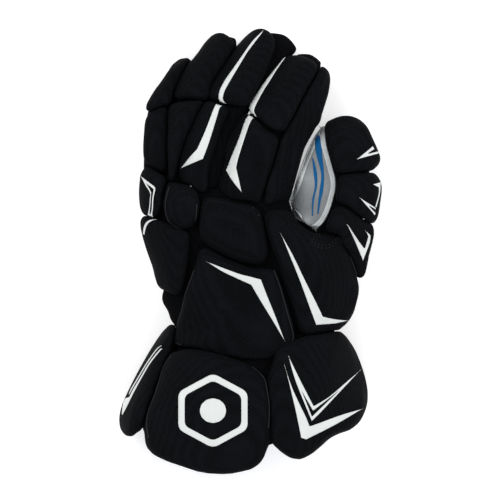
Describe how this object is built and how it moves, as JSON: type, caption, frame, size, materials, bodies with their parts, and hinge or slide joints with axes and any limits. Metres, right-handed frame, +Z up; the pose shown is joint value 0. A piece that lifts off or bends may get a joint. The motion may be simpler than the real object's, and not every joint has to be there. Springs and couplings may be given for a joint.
{
  "type": "lacrosse glove",
  "caption": "Left-hand padded lacrosse glove, palm down: segmented pads on fingers, back and thumb, leather palm, and a flared three-flap cuff.",
  "frame": {"origin": "on the floor under the middle of the glove's box", "axes": "+X to the thumb side, +Y to the fingertips, +Z up out of the back of the hand"},
  "size_m": [0.1958, 0.3294, 0.0784],
  "materials": {
    "pad_fabric": "fine woven mesh, faint sheen",
    "liner_fabric": "matt knit",
    "leather": "soft grained grey leather",
    "lining": "blue brushed lining"
  },
  "bodies": {
    "root": {"hand_back": "liner_fabric", "hand_palm": "leather", "index_back": "liner_fabric", "index_palm": "leather", "middle_back": "liner_fabric", "middle_palm": "leather", "ring_back": "liner_fabric", "ring_palm": "leather", "pinky_back": "liner_fabric", "pinky_palm": "leather", "thumb_leather": "leather", "index_tip_pad": "pad_fabric", "middle_tip_pad": "pad_fabric", "ring_tip_pad": "pad_fabric", "pinky_tip_pad": "pad_fabric", "index_mid_pad": "pad_fabric", "middle_mid_pad": "pad_fabric", "ring_mid_pad": "pad_fabric", "pinky_mid_pad": "pad_fabric", "index_side_panel": "pad_fabric", "knuckle_side_pad": "pad_fabric", "knuckle_pad": "pad_fabric", "knuckle_wide_pad": "pad_fabric", "pinky_side_pad": "pad_fabric", "back_pad": "pad_fabric", "thumb_base_pad": "pad_fabric", "thumb_tip_pad": "pad_fabric", "thumb_mid_pad": "pad_fabric", "thumb_low_pad": "pad_fabric", "cuff_lining": "lining", "cuff_pad_pinky": "pad_fabric", "cuff_pad_middle": "pad_fabric", "cuff_pad_thumb": "pad_fabric"}
  },
  "joints": []
}
